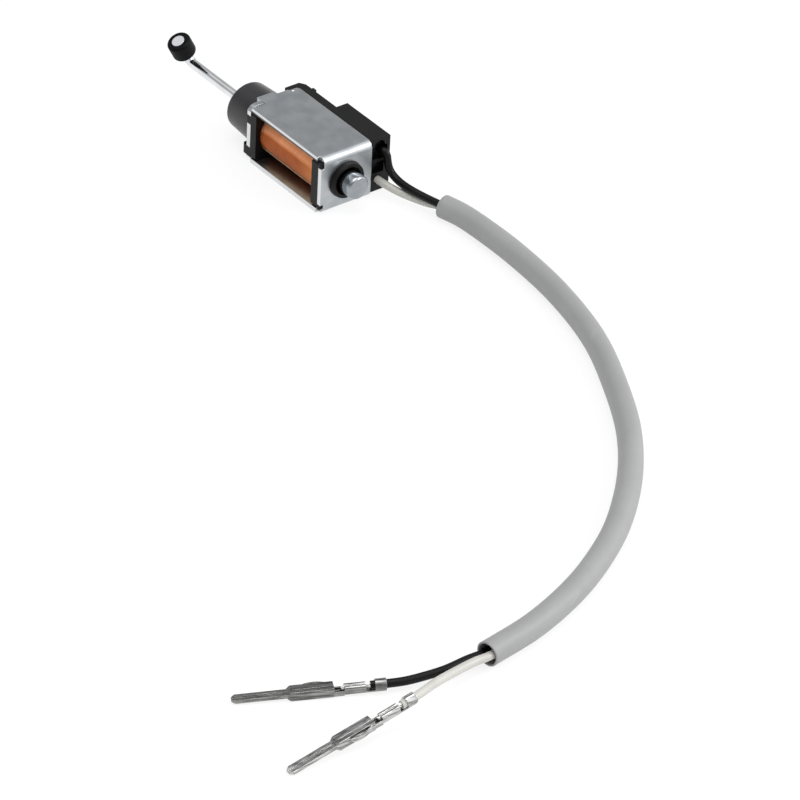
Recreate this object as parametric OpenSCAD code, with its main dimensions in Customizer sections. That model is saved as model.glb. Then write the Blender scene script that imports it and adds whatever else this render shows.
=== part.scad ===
// Open-frame push pull solenoid with a bent push rod, a sleeved lead pair and two crimp contacts.
// Millimetres, +Z up, +X along the plunger towards its free tip.
// The origin is on the base face, under the middle of the frame.

/* [Frame] */
// Length of the bent frame along the plunger, over its front plate
frame_len = 29; // [26:0.5:32]
// Width of the frame
frame_w = 15.4; // [14.8:0.1:18]
// Height of the frame over its top and bottom plates
frame_h = 15.8; // [15.4:0.1:19]
// Thickness of the bent frame sheet
sheet_t = 1.2; // [1:0.05:1.4]
// Outside radius of the two bends
bend_r = 1.8; // [1.6:0.1:2.2]
// Thickness of the back plate
back_t = 1.4; // [1.2:0.1:2]
// Slot between the back plate and the frame's corner cut-outs
back_gap = 0.4; // [0.2:0.05:0.6]
// How far the middle tabs of the frame reach past the back plate
tab_over = 1.6; // [0.8:0.1:2.2]
// Width of the corner cut-outs that let the back plate's horns through
horn_w = 4; // [3:0.1:4.6]
// Diameter of the tapped mounting holes' bore
mount_hole_d = 2.5; // [2:0.1:3]
// Distance between the middles of the two mounting holes
mount_pitch = 16; // [10:0.5:18]

/* [Bobbin and coil] */
// Clearance between the winding and the frame's plates
coil_clear = 0.3; // [0.2:0.05:1]
// Outside diameter of the bobbin's tube under the winding
spool_d = 8.6; // [8.2:0.1:9.4]
// Thickness of the bobbin's front flange
front_flange_t = 2.7; // [1.6:0.1:3]
// Thickness of the bobbin's rear flange
rear_flange_t = 1.9; // [1.4:0.1:2.4]
// Outside diameter of the bobbin's nose in the front plate
nose_d = 9.6; // [9:0.1:10.4]
// How far the nose stands out of the front plate
nose_out = 1.2; // [0.6:0.1:1.6]
// Wall of the guide tube in the bobbin's bore
guide_wall = 0.25; // [0.2:0.05:0.4]

/* [Plunger] */
// Diameter of the plunger
plunger_d = 6.8; // [6.2:0.1:7]
// How far the tip stands out of the front plate at rest
tip_out = 5.3; // [5:0.1:8]
// Travel from rest to the stop
stroke = 4.5; // [3:0.1:4.8]
// How much smaller the turned-down tip is, on the radius
tip_relief = 0.2; // [0.2:0.05:0.6]
// Length of the turned-down tip
tip_len = 5.2; // [3:0.1:7]
// Radius of the rounded shoulder at the tip
tip_round = 1; // [0.3:0.05:1.4]
// Depth of the rod's seat in the plunger
rod_seat = 6; // [3:0.5:9]
// Running clearance on the radius between plunger and guide tube
run_gap = 0.05; // [0.03:0.01:0.08]

/* [Pole core] */
// Length of the core inside the bobbin, from the back plate
core_len = 10.5; // [7:0.5:12]
// Diameter of the spigot that is riveted through the back plate
spigot_d = 5; // [4.4:0.1:6]
// Diameter of the collar behind the back plate
core_collar_d = 9; // [8.6:0.1:9.6]
// Thickness of that collar
core_collar_t = 1.4; // [1:0.1:1.8]
// Thickness of the damping washer on the core's face
damper_t = 0.5; // [0.3:0.1:1]

/* [Push rod] */
// Diameter of the rod
rod_d = 2.6; // [2.3:0.05:2.8]
// Distance from the back plate's rear face to the middle of the bent leg
rod_reach = 35.4; // [25:0.1:45]
// Height of the leg's end over the plunger axis
rod_rise = 8.1; // [7.5:0.1:14]
// Lean of the leg away from straight up
rod_lean = 28; // [0:1:45]
// Middle-line radius of the bend
rod_bend_r = 2; // [1.6:0.1:2.4]
// Diameter of the head that is formed on the leg's end
rod_head_d = 3.3; // [2.8:0.1:3.8]
// Depth of the flat that keeps the rod from turning
rod_flat = 0.25; // [0.15:0.05:0.4]

/* [Knob] */
// Outside diameter of the rubber knob
knob_d = 6.2; // [5:0.1:9]
// Length of the knob along the leg
knob_len = 4.9; // [3:0.1:5]
// Radius of the knob's edges
knob_round = 0.7; // [0.3:0.1:1.2]

/* [Rear cap] */
// Length of the cap behind the back plate
cap_len = 10.8; // [10:0.1:13]
// How far the cap's base stays inside the frame's sides
cap_inset = 0.65; // [0.6:0.05:1]
// How much the cap narrows towards its end, on the radius
cap_taper = 0.65; // [0.1:0.05:1]
// Radius of the cap's end edge
cap_round = 0.8; // [0.3:0.1:1.5]
// Thickness of the cap's end wall
cap_end_t = 1.6; // [1.2:0.1:2]
// Diameter of the spring chamber
chamber_d = 7.4; // [7:0.1:8]

/* [Return spring] */
// Wire diameter of the spring
spring_wire = 0.35; // [0.25:0.05:0.4]
// Outside diameter of the spring
spring_d = 4.8; // [4.2:0.1:5.6]
// Number of turns
spring_turns = 5; // [3:0.5:5]
// Diameter of the washer that the spring pushes on
washer_d = 6.8; // [6:0.1:6.9]
// Thickness of the washer
washer_t = 0.5; // [0.3:0.1:0.6]
// Thickness of the retaining clip
clip_t = 0.4; // [0.3:0.1:0.5]
// Outside diameter of the retaining clip
clip_d = 4.6; // [4:0.1:5.2]

/* [Terminal housing] */
// Length of the deep part of the housing
housing_len = 17.1; // [15:0.1:20]
// Depth of the deep part, away from the frame
housing_depth = 6.4; // [6:0.1:9]
// Depth of the thin rear part, away from the frame
strip_depth = 2.5; // [2:0.1:4]
// Distance from the front plate's face back to the housing's front face
housing_back = 1.1; // [0.5:0.1:2]
// Gap under the housing
housing_lift = 0.4; // [0:0.1:1]
// Bore of the wire cavities
cavity_d = 2.3; // [2.2:0.1:2.8]
// Height of the frame's top over the upper wire
upper_wire_down = 4.4; // [4:0.1:4.8]
// Height of the lower wire over the base
lower_wire_z = 3.5; // [3:0.1:4]
// Width across the coil pins
pin_w = 0.8; // [0.6:0.1:1]

/* [Leads and sleeve] */
// Outside diameter of each lead
lead_d = 2; // [1.6:0.1:2]
// Play of the two leads across the sleeve's bore
sleeve_play = 1; // [0.6:0.1:1.4]
// Wall of the sleeve
sleeve_wall = 0.5; // [0.4:0.05:0.6]

/* [Crimp contacts] */
// Width of the contact blade
blade_w = 2.2; // [1.6:0.1:2.4]
// Thickness of the folded blade
blade_t = 0.9; // [0.6:0.1:1.2]
// Length of the blade
blade_len = 12; // [8:0.5:16]
// Width of the contact's box
box_w = 2.7; // [2.5:0.1:3.4]
// Height of the contact's box
box_h = 2.3; // [2:0.1:2.6]
// Length of the contact's box
box_len = 10.3; // [8:0.1:12]
// Sheet thickness of the contact
strip_t = 0.35; // [0.25:0.05:0.4]

/* [Hidden] */
$fn = 64;

e = 0.01;                 // overshoot of cuts
fit_gap = 0.05;           // gap between fixed pieces that slip together
touch_gap = 0.05;         // gap left at the plunger's two stops
beyond = 1;               // how far a cut runs past a face

// Stations along X
front_x = frame_len / 2;
inner_front_x = front_x - sheet_t;
back_x = -frame_len / 2;
rear_x = back_x - back_gap - back_t;
flange_rear_x = back_x - back_gap;
tab_x = rear_x - tab_over;
axis_z = frame_h / 2;
side_y = frame_w / 2;
inner_h = frame_h - 2 * sheet_t;

// Radial sizes that fit one another
coil_d = inner_h - 2 * coil_clear;
tip_d = plunger_d - 2 * tip_relief;
cap_base_d = frame_w - 2 * cap_inset;
cap_end_d = cap_base_d - 2 * cap_taper;
sleeve_d = 2 * lead_d + sleeve_play + 2 * sleeve_wall;
guide_id = plunger_d + 2 * run_gap;
guide_od = guide_id + 2 * guide_wall;
bobbin_bore = guide_od + 2 * fit_gap;
core_d = guide_id - 2 * fit_gap;
front_hole_d = nose_d + 2 * fit_gap;
rod_bore = rod_d + 2 * run_gap;
cap_bore = rod_d + 0.2;

// Plunger group at rest
core_face_x = flange_rear_x + core_len;
damper_x = core_face_x + damper_t;
plunger_rear_x = damper_x + stroke + touch_gap;
plunger_tip_x = front_x + tip_out;
rod_front_x = plunger_rear_x + rod_seat;
collar_x = rear_x - core_collar_t;
clip_x = collar_x - touch_gap - clip_t;
washer_x = clip_x - washer_t;
cap_end_x = rear_x - cap_len;
spring_seat_x = cap_end_x + cap_end_t;
leg_x = rear_x - rod_reach;
clip_seat_d = rod_d - 0.5;
clip_groove_gap = 0.02;   // play of the clip in its groove
clip_notch_d = 1;         // grip notches in the clip's two arms
clip_notch_angle = 58;    // their angle from the foot of the clip
bore_chamfer = 0.3;       // chamfer of the plunger's rear edge
step_slope = 0.2;         // slope from the plunger's body to its tip
shoulder_turn = 55;       // how far the tip's shoulder turns in before the flat end
head_t = 0.5;             // thickness of the rod's formed head
flat_over = 0.5;          // the flat's length past its travel
washer_play = 0.6;        // how far the damping washer stays inside the core's edge
washer_bore_play = 0.2;   // the damping washer's play round the rod's bore

// Bobbin
flange_h = inner_h - 2 * fit_gap;
coil_front_x = inner_front_x - front_flange_t;
coil_rear_x = back_x + rear_flange_t;
relief_depth = 1;         // depth of the bend reliefs in the front plate's sides
relief_h = 1.5;           // straight part of a bend relief
tab_end_y = 1.3;          // far side of the frame's middle tabs
shoulder_dip = 0.4;       // how far the frame's shoulder runs past the back plate
corner_r = 1;             // rounded rear corner of the frame on the housing's side
stake_d = 0.9;            // mouth of a staking mark
stake_floor_d = 0.5;
stake_depth = 0.2;
stake_x = rear_x + 0.9;
stake_y = side_y - 2.1;
horn_r = 2;               // rounded corner of a back plate horn
flange_chamfer = 0.65;    // corner chamfer of the bobbin's flanges
bend_bevel = (bend_r - sheet_t) * sqrt(2);
nose_round = 0.3;         // edge radius of the bobbin's nose
mouth_chamfer = 0.15;     // chamfer of the nose's bore
notch_depth = 1.2;        // notch in the front flange for the winding's ends
notch_t = 0.8;
notch_w = 2;
ear_back = 0.5;           // how far the bobbin's side ears stay behind the front face
lug_edge = 0.3;           // gap between the frame's bottom plate and the lower lugs
lower_lug_h = 2.6;
upper_lug_h = 2.3;
lower_lug_z = [sheet_t + lug_edge, sheet_t + lug_edge + lower_lug_h];
upper_lug_z = [frame_h - sheet_t - relief_h - upper_lug_h, frame_h - sheet_t - relief_h];
lug_in = 1.7;             // how far a rear lug reaches in from the frame's side
hook_t = 1.7;             // how far the lower lug hooks behind the back plate

// Terminal housing
housing_front_x = front_x - housing_back;
housing_rear_x = housing_front_x - housing_len;
strip_rear_x = rear_x - 1.7;
housing_top_z = frame_h - 0.1;
housing_chamfer = 0.5;    // top outer edge of the deep block
strip_bevel_x = 1.6;      // bevel of the strip's rear corner
strip_bevel_y = 1;
lip_x = rear_x - fit_gap;
lip_in = 2.8;             // how far the rear lip reaches behind the back plate
lip_down = 2;             // how far the lip reaches below the plunger's axis
nub_x = rear_x + 2.2;     // latch nub on the strip's top edge
nub_len = 1.3;
nub_out = 0.6;
nub_h = 1.5;
nub_slope = 0.4;
upper_wire_in = 2;      // upper wire's middle inside the housing's outer face
lower_wire_out = 2.9;     // lower wire's middle out from the frame's side
upper_wire_y = side_y + housing_depth - upper_wire_in;
upper_wire_z = frame_h - upper_wire_down;
lower_wire_y = side_y + lower_wire_out;
pocket_floor_x = housing_front_x - 1.6;
bay_wall = 1;             // wall between the bays and the frame
bay_low = 1.9;            // upper bay's floor below the upper wire
bay_high = 1.7;           // spring line of its arched roof above that wire
bay_arch_d = 3.2;
bay_outer_wall = 0.9;
bay_bar = 0.8;            // bar between the two bays
slot_low = 2;             // empty bay's floor above the lower wire
slot_outer_wall = 1.8;
barrel_len = 1.5;
barrel_d = lead_d - 0.1;
post_len = 4.2;
lead_start_x = housing_front_x - 3.7;
pin_back_x = lead_start_x - barrel_len;
tail_d = 0.3;
tail_sink = 0.02;         // how far a tail's end is bedded in the winding
tail_bore = 0.8;
tail_x = pin_back_x - 1;

// Contacts, along their own +X from the wire end to the tip
ring_len = 2.5;
bare_len = 2;
crimp_len = 4.7;
neck_len = 2.3;
crimp_x = ring_len + bare_len;
neck_x = crimp_x + crimp_len;
box_x = neck_x + neck_len;
blade_x = box_x + box_len;
contact_len = blade_x + blade_len;
ring_d = lead_d + 2 * strip_t;
ring_split = 0.3;         // split along the insulation crimp's top
floor_w = 1.4;            // floor of the sheet under crimp and neck
lobe_d = 1.2;             // rolled lobes of the conductor crimp
lobe_y = 0.48;
lobe_z = 0.1;
crimp_w = 2.16;
crease_w = 0.16;
crease_z = 0.3;
neck_wall = 0.3;
neck_y = 0.85;
neck_top_z = -0.2;
mouth_len = 3;            // how far the box is hollow behind its wire end
box_slope = 0.9;          // bevelled front of the box, seen from the side
box_taper = 0.7;          // the same, seen from above
seam_w = 0.08;            // seam along the box's top
seam_y = 0.25;
seam_depth = 0.12;
lance_r = 7;              // radius of the bowed locking lance
lance_bow = 0.95;
lance_t = 0.3;
lance_w = 1.1;
lance_len = 9;
lance_x = 4.2;
lance_low = -0.35;
tip_taper = 0.9;          // tip of the blade, seen from above
tip_side = 0.6;
tip_slope = 0.6;          // the same, seen from the side
tip_edge = 0.4;
groove_w = 0.45;          // groove on both faces of the blade
groove_depth = 0.28 * blade_t;
black_end = [174.5, -107.6, 2];
black_heading = -117;
black_pitch = 2;
white_end = [185.7, -108.7, 6];
white_heading = -89.5;
white_pitch = 9;

// Cord routes; the near parts run ahead of the housing's front face, the rest is placed outright
sleeve_z = sleeve_d / 2;
lead_shift = lead_d / 2 + 0.1; // each lead's offset from the sleeve's middle line
// Which side of the sleeve the black lead runs on, from 0 at the right to 90 at the top
near_turn = 40;
far_turn = -15;
sleeve_route = [
    [31.4, 17.3], [37, 18.6], [44, 19.1], [58, 19], [77, 17], [97, 12], [115, 4], [131, -5],
    [145, -16], [158, -30], [166, -42], [172, -54], [177, -69], [179.5, -84]
];
black_near = [
    [1, 12.35, 10.7], [1.5, 12.4, 9], [2, 12.5, 7.4], [2.9, 12.75, 6.1], [4.6, 13, 5.2],
    [7, 13.3, 4.7], [10.2, 14, 4.3], [14, 15.2, 3.9]
];
black_far = [[178.2, -88.5, 2.6], [178.1, -94.4, 2.4], [177.2, -99.5, 2.2], [176.1, -103.7, 2.05]];
white_near = [[3.2, 11.1, 3.3], [6.2, 12.2, 2.8], [9.4, 13.9, 2.2], [13.4, 16, 1.9]];
white_far = [[180.5, -88, 3.4], [181.5, -94.4, 4], [183.3, -101, 5.1], [185, -106, 5.8]];

// ---------------------------------------------------------------- helpers

function arc(centre, r, from, to, steps = 6) =
    [for (i = [0 : steps]) let (a = from + (to - from) * i / steps) centre + r * [cos(a), sin(a)]];
function unit(v) = v / norm(v);
function at_height(points, z) = [for (p = points) [p.x, p.y, z]];
function heading(a, pitch) = [cos(a) * cos(pitch), sin(a) * cos(pitch), -sin(pitch)];
function tangent(path, i) =
    unit(path[min(i + 1, len(path) - 1)] - path[max(i - 1, 0)]);
function ring_points(path, i, r, sides) =
    let (t = tangent(path, i), s = unit(cross(t, [0, 0, 1])), u = cross(s, t))
    [for (k = [0 : sides - 1]) path[i] + r * (cos(360 * k / sides) * s + sin(360 * k / sides) * u)];

// Turns a piece drawn along +Z to lie along +X on the plunger's axis.
module on_axis() {
    translate([0, 0, axis_z]) rotate([0, 90, 0]) children();
}

module rod_x(d, from, to, y = 0, z = axis_z) {
    translate([from, y, z]) rotate([0, 90, 0]) cylinder(d = d, h = to - from);
}

module span(from, to) {
    translate(from) cube(to - from);
}

// Outline seen from the side, made as thick as given about the middle plane.
module side_on(width) {
    translate([0, width / 2, 0]) rotate([90, 0, 0]) linear_extrude(width) children();
}

// Solid tube swept along a path.
module swept_rod(path, r, sides) {
    n = len(path);
    points = [for (i = [0 : n - 1]) each ring_points(path, i, r, sides)];
    sides_faces = [for (i = [0 : n - 2], k = [0 : sides - 1]) let (m = (k + 1) % sides)
        [i * sides + k, i * sides + m, (i + 1) * sides + m, (i + 1) * sides + k]];
    start = [[for (k = [sides - 1 : -1 : 0]) k]];
    end = [[for (k = [0 : sides - 1]) (n - 1) * sides + k]];
    polyhedron(points, concat(sides_faces, start, end), convexity = 8);
}

// Hollow tube swept along a path, open at both ends.
module swept_tube(path, r, wall, sides) {
    n = len(path);
    points = [for (i = [0 : n - 1])
        each concat(ring_points(path, i, r, sides), ring_points(path, i, r - wall, sides))];
    row = 2 * sides;
    outside = [for (i = [0 : n - 2], k = [0 : sides - 1]) let (m = (k + 1) % sides)
        [i * row + k, i * row + m, (i + 1) * row + m, (i + 1) * row + k]];
    inside = [for (i = [0 : n - 2], k = [0 : sides - 1]) let (m = (k + 1) % sides)
        [i * row + sides + m, i * row + sides + k, (i + 1) * row + sides + k, (i + 1) * row + sides + m]];
    start = [for (k = [0 : sides - 1]) let (m = (k + 1) % sides) [m, k, sides + k, sides + m]];
    last = (n - 1) * row;
    end = [for (k = [0 : sides - 1]) let (m = (k + 1) % sides)
        [last + k, last + m, last + sides + m, last + sides + k]];
    polyhedron(points, concat(outside, inside, start, end), convexity = 8);
}

// ---------------------------------------------------------------- frame

// Side view of the bent sheet: bottom plate, front plate and top plate.
module bent_profile(inset, r) {
    front = front_x - inset;
    low = inset;
    high = frame_h - inset;
    rear = tab_x - inset;
    translate([rear, low]) square([front - r - rear, high - low]);
    translate([front - r - e, low + r]) square([r + e, high - low - 2 * r]);
    for (z = [low + r, high - r]) translate([front - r, z]) circle(r);
}

// Cut-outs at one plate's rear edge: the horn's corner, the shoulder beside the middle tab,
// a rounded corner and a staking mark.
module plate_rear_cuts() {
    low = -sheet_t;
    high = sheet_t + e;
    span([tab_x - e, -side_y - e, low], [back_x, -side_y + horn_w, high]);
    span([tab_x - e, tab_end_y, low], [rear_x - shoulder_dip, side_y + e, high]);
    span([tab_x - e, side_y - lip_in - fit_gap, low], [rear_x, side_y + e, high]);
    translate([rear_x, side_y, 0]) difference() {
        span([-e, -corner_r, low], [corner_r, e, high]);
        translate([corner_r, -corner_r, 2 * low]) cylinder(r = corner_r, h = 4 * sheet_t);
    }
    translate([stake_x, stake_y, -e]) cylinder(d1 = stake_d, d2 = stake_floor_d, h = stake_depth);
}

module bend_relief() {
    span([inner_front_x - bend_r, -side_y - e, -e],
         [front_x + e, -side_y + relief_depth, sheet_t + relief_h]);
}

module frame_yoke() color("silver") difference() {
    translate([0, side_y, 0]) rotate([90, 0, 0]) linear_extrude(frame_w) difference() {
        bent_profile(0, bend_r);
        bent_profile(sheet_t, bend_r - sheet_t);
    }
    rod_x(front_hole_d, inner_front_x - beyond, front_x + beyond);
    plate_rear_cuts();
    translate([0, 0, frame_h]) mirror([0, 0, 1]) plate_rear_cuts();
    difference() {
        union() {
            bend_relief();
            translate([0, 0, frame_h]) mirror([0, 0, 1]) bend_relief();
        }
        // the relief leaves the flat plates and cuts the front plate only
        span([back_x, -frame_w, -beyond], [inner_front_x - bend_r + sheet_t, frame_w, frame_h + beyond]);
    }
    for (x = [-mount_pitch / 2, mount_pitch / 2])
        translate([x, 0, -beyond]) cylinder(d = mount_hole_d, h = sheet_t + 2 * beyond);
}

// Outline of the back plate with horns, lug notches and rounded horn corners.
module back_outline() {
    difference() {
        union() {
            translate([-side_y, sheet_t + fit_gap]) square([frame_w, inner_h - 2 * fit_gap]);
            translate([-side_y, horn_r + fit_gap])
                square([horn_w - 2 * fit_gap, frame_h - 2 * (horn_r + fit_gap)]);
            for (z = [horn_r + fit_gap, frame_h - horn_r - fit_gap])
                translate([-side_y + horn_r, z]) circle(horn_r);
            translate([-side_y + horn_r, fit_gap])
                square([horn_w - horn_r - 2 * fit_gap, frame_h - 2 * fit_gap]);
        }
        for (m = [0, 1]) mirror([m, 0]) for (z = [upper_lug_z, lower_lug_z])
            translate([-side_y - beyond, z[0] - fit_gap])
                square([beyond + lug_in + fit_gap, z[1] - z[0] + 2 * fit_gap]);
    }
}

module back_plate() color("gainsboro") difference() {
    translate([rear_x, 0, 0]) rotate([90, 0, 90]) linear_extrude(back_t) back_outline();
    rod_x(spigot_d, rear_x - beyond, flange_rear_x + beyond);
}

// ---------------------------------------------------------------- coil

module flange(from, to) {
    translate([from, 0, axis_z]) rotate([90, 0, 90]) linear_extrude(to - from) difference() {
        translate([-side_y, -flange_h / 2]) square([frame_w, flange_h]);
        for (a = [-1, 1], b = [-1, 1]) translate([a * side_y, b * flange_h / 2]) rotate(45)
            square(flange_chamfer * sqrt(2), center = true);
    }
}

module rear_lugs() {
    for (m = [0, 1]) mirror([0, m, 0]) {
        for (z = [upper_lug_z, lower_lug_z])
            span([rear_x, -side_y, z[0]], [flange_rear_x + e, -side_y + lug_in, z[1]]);
    }
    // hooked foot of the lower lug on the open side
    hook_y = -side_y + hook_t / 2;
    translate([rear_x - hook_t / 2 - fit_gap, hook_y, lower_lug_z[0]])
        cylinder(d = hook_t, h = lower_lug_z[1] - lower_lug_z[0]);
    span([rear_x - hook_t / 2 - fit_gap, hook_y - hook_t / 2, lower_lug_z[0]],
         [rear_x, hook_y + hook_t / 2, lower_lug_z[1]]);
}

module bobbin() color([0.1, 0.1, 0.11]) difference() {
    union() {
        difference() {
            flange(coil_front_x, inner_front_x);
            // bevels that clear the inside of the frame's bends
            for (m = [0, 1]) translate([0, 0, axis_z]) mirror([0, 0, m])
                translate([inner_front_x, 0, flange_h / 2]) rotate([0, 45, 0])
                    cube([bend_bevel, 2 * frame_w, bend_bevel], center = true);
        }
        flange(flange_rear_x, coil_rear_x);
        rod_x(spool_d, coil_rear_x - e, coil_front_x + e);
        on_axis() translate([0, 0, inner_front_x - e]) rotate_extrude()
            polygon(concat([[0, 0], [nose_d / 2, 0]],
                arc([nose_d / 2 - nose_round, sheet_t + nose_out - nose_round], nose_round, 0, 90, 4),
                [[0, sheet_t + nose_out]]));
        rear_lugs();
        for (z = [sheet_t + fit_gap, frame_h - sheet_t - relief_h])
            span([inner_front_x - e, -side_y, z],
                 [front_x - ear_back, -side_y + relief_depth - fit_gap, z + relief_h - fit_gap]);
    }
    rod_x(bobbin_bore, flange_rear_x - beyond, front_x + nose_out + beyond);
    on_axis() translate([0, 0, front_x + nose_out - mouth_chamfer])
        cylinder(d1 = bobbin_bore, d2 = bobbin_bore + 2 * mouth_chamfer + 2 * e, h = mouth_chamfer + e);
    // notch that leads the winding's ends out on the housing's side
    span([coil_front_x - e, side_y - notch_depth, axis_z - notch_w / 2],
         [coil_front_x + notch_t, side_y + e, axis_z + notch_w / 2]);
}

module coil_winding() color([0.78, 0.45, 0.25]) difference() {
    rod_x(coil_d, coil_rear_x + fit_gap, coil_front_x - fit_gap);
    rod_x(spool_d + 2 * fit_gap, coil_rear_x - beyond, coil_front_x + beyond);
}

// One fine wire end, from the winding's surface out to a coil pin.
module coil_tail(y_pin, z) {
    drop = z - axis_z;
    start = sqrt(pow(coil_d / 2, 2) - drop * drop) - tail_sink;
    translate([tail_x, start, z]) rotate([-90, 0, 0])
        cylinder(d = tail_d, h = y_pin - pin_w / 2 - start, $fn = 16);
}

module coil_tails() color([0.72, 0.4, 0.2]) {
    coil_tail(upper_wire_y, upper_wire_z);
    coil_tail(lower_wire_y, lower_wire_z);
}

module guide_tube() color([0.8, 0.68, 0.4]) difference() {
    rod_x(guide_od, flange_rear_x + fit_gap, inner_front_x);
    rod_x(guide_id, flange_rear_x - beyond, inner_front_x + beyond);
}

// ---------------------------------------------------------------- magnetic core and plunger

module pole_core() color([0.7, 0.72, 0.74]) difference() {
    union() {
        rod_x(core_d, flange_rear_x, core_face_x);
        rod_x(spigot_d, rear_x - e, flange_rear_x + e);
        rod_x(core_collar_d, collar_x, rear_x);
    }
    rod_x(rod_bore, collar_x - beyond, core_face_x + beyond);
}

module damping_washer() color([0.12, 0.12, 0.12]) difference() {
    rod_x(core_d - 2 * washer_play, core_face_x, damper_x);
    rod_x(rod_bore + 2 * washer_bore_play, core_face_x - beyond, damper_x + beyond);
}

module plunger() color([0.82, 0.84, 0.86]) difference() {
    r = plunger_d / 2;
    step_x = plunger_tip_x - tip_len;
    on_axis() rotate_extrude() polygon(concat(
        [[0, plunger_rear_x], [r - bore_chamfer, plunger_rear_x], [r, plunger_rear_x + bore_chamfer],
         [r, step_x - step_slope], [tip_d / 2, step_x]],
        arc([tip_d / 2 - tip_round, plunger_tip_x - tip_round * sin(shoulder_turn)],
            tip_round, 0, shoulder_turn, 8),
        [[0, plunger_tip_x]]));
    rod_x(rod_d, plunger_rear_x - beyond, rod_front_x);
}

// Leg of the push rod: drawn up from the bend's centre line, then leaned over.
module leaned() {
    translate([leg_x, 0, axis_z]) rotate([rod_lean, 0, 0]) children();
}

module push_rod() color([0.85, 0.86, 0.88]) difference() {
    union() {
        rod_x(rod_d, leg_x + rod_bend_r, rod_front_x);
        leaned() translate([rod_bend_r, 0, rod_bend_r]) rotate([-90, 0, 0]) rotate([0, 0, 90])
            rotate_extrude(angle = 90) translate([rod_bend_r, 0]) circle(d = rod_d);
        leaned() translate([0, 0, rod_bend_r]) cylinder(d = rod_d, h = rod_rise - rod_bend_r);
        leaned() translate([0, 0, rod_rise - head_t]) cylinder(d = rod_head_d, h = head_t);
    }
    // flat on the underside, which slides in the cap's D-shaped bore
    span([cap_end_x - flat_over, -rod_d, axis_z - rod_d],
         [spring_seat_x + stroke + flat_over, rod_d, axis_z - rod_d / 2 + rod_flat]);
    // groove for the retaining clip
    difference() {
        rod_x(rod_d + beyond, clip_x - clip_groove_gap, clip_x + clip_t + clip_groove_gap);
        rod_x(clip_seat_d, clip_x - beyond, clip_x + clip_t + beyond);
    }
}

module knob() color([0.1, 0.1, 0.1]) leaned() difference() {
    top = rod_rise;
    low = rod_rise - knob_len;
    rotate_extrude() polygon(concat([[0, low]],
        arc([knob_d / 2 - knob_round, low + knob_round], knob_round, -90, 0),
        arc([knob_d / 2 - knob_round, top - knob_round], knob_round, 0, 90),
        [[0, top]]));
    translate([0, 0, low - beyond]) cylinder(d = rod_d, h = knob_len + 2 * beyond);
    translate([0, 0, top - head_t]) cylinder(d = rod_head_d, h = head_t + beyond);
}

// ---------------------------------------------------------------- spring group and cap

module retaining_clip() color([0.3, 0.3, 0.32]) difference() {
    rod_x(clip_d, clip_x, clip_x + clip_t);
    rod_x(clip_seat_d, clip_x - beyond, clip_x + clip_t + beyond);
    span([clip_x - beyond, -clip_seat_d / 2, axis_z],
         [clip_x + clip_t + beyond, clip_seat_d / 2, axis_z + clip_d]);
    translate([0, 0, axis_z]) for (s = [-1, 1]) rotate([s * clip_notch_angle, 0, 0])
        rod_x(clip_notch_d, clip_x - beyond, clip_x + clip_t + beyond, 0, -clip_d / 2);
}

module spring_washer() color([0.75, 0.76, 0.78]) difference() {
    rod_x(washer_d, washer_x, clip_x);
    rod_x(rod_bore, washer_x - beyond, clip_x + beyond);
}

module return_spring() color([0.6, 0.62, 0.65]) {
    r = (spring_d - spring_wire) / 2;
    from = spring_seat_x + spring_wire / 2;
    to = washer_x - spring_wire / 2;
    steps = 16;
    path = [for (i = [0 : spring_turns * steps])
        let (a = 360 * i / steps, share = i / (spring_turns * steps))
        [from + (to - from) * share, r * cos(a), r * sin(a)]];
    translate([0, 0, axis_z]) spring_sweep(path, spring_wire / 2, 8);
}

// The helix runs round X, so its rings take their side from the axis.
module spring_sweep(path, r, sides) {
    n = len(path);
    points = [for (i = [0 : n - 1]) let (t = tangent(path, i), s = unit(cross(t, [1, 0, 0])), u = cross(s, t))
        for (k = [0 : sides - 1]) path[i] + r * (cos(360 * k / sides) * s + sin(360 * k / sides) * u)];
    sides_faces = [for (i = [0 : n - 2], k = [0 : sides - 1]) let (m = (k + 1) % sides)
        [i * sides + k, i * sides + m, (i + 1) * sides + m, (i + 1) * sides + k]];
    start = [[for (k = [sides - 1 : -1 : 0]) k]];
    end = [[for (k = [0 : sides - 1]) (n - 1) * sides + k]];
    polyhedron(points, concat(sides_faces, start, end), convexity = 8);
}

module rear_cap() color([0.14, 0.14, 0.15]) difference() {
    on_axis() rotate_extrude() polygon(concat(
        [[0, cap_end_x]],
        arc([cap_end_d / 2 - cap_round, cap_end_x + cap_round], cap_round, -90, 0),
        [[cap_base_d / 2, rear_x], [0, rear_x]]));
    rod_x(core_collar_d + 2 * fit_gap, collar_x - fit_gap, rear_x + beyond);
    // flats that sit between the frame's middle tabs
    for (m = [0, 1]) translate([0, 0, axis_z]) mirror([0, 0, m])
        span([tab_x - fit_gap, -cap_base_d, inner_h / 2 - fit_gap],
             [rear_x + beyond, cap_base_d, cap_base_d]);
    rod_x(chamber_d, spring_seat_x, rear_x);
    difference() {
        rod_x(cap_bore, cap_end_x - beyond, spring_seat_x + beyond);
        span([cap_end_x - 2 * beyond, -rod_d, axis_z - rod_d],
             [spring_seat_x, rod_d, axis_z - rod_d / 2 + rod_flat - run_gap]);
    }
}

// ---------------------------------------------------------------- terminal housing

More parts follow.
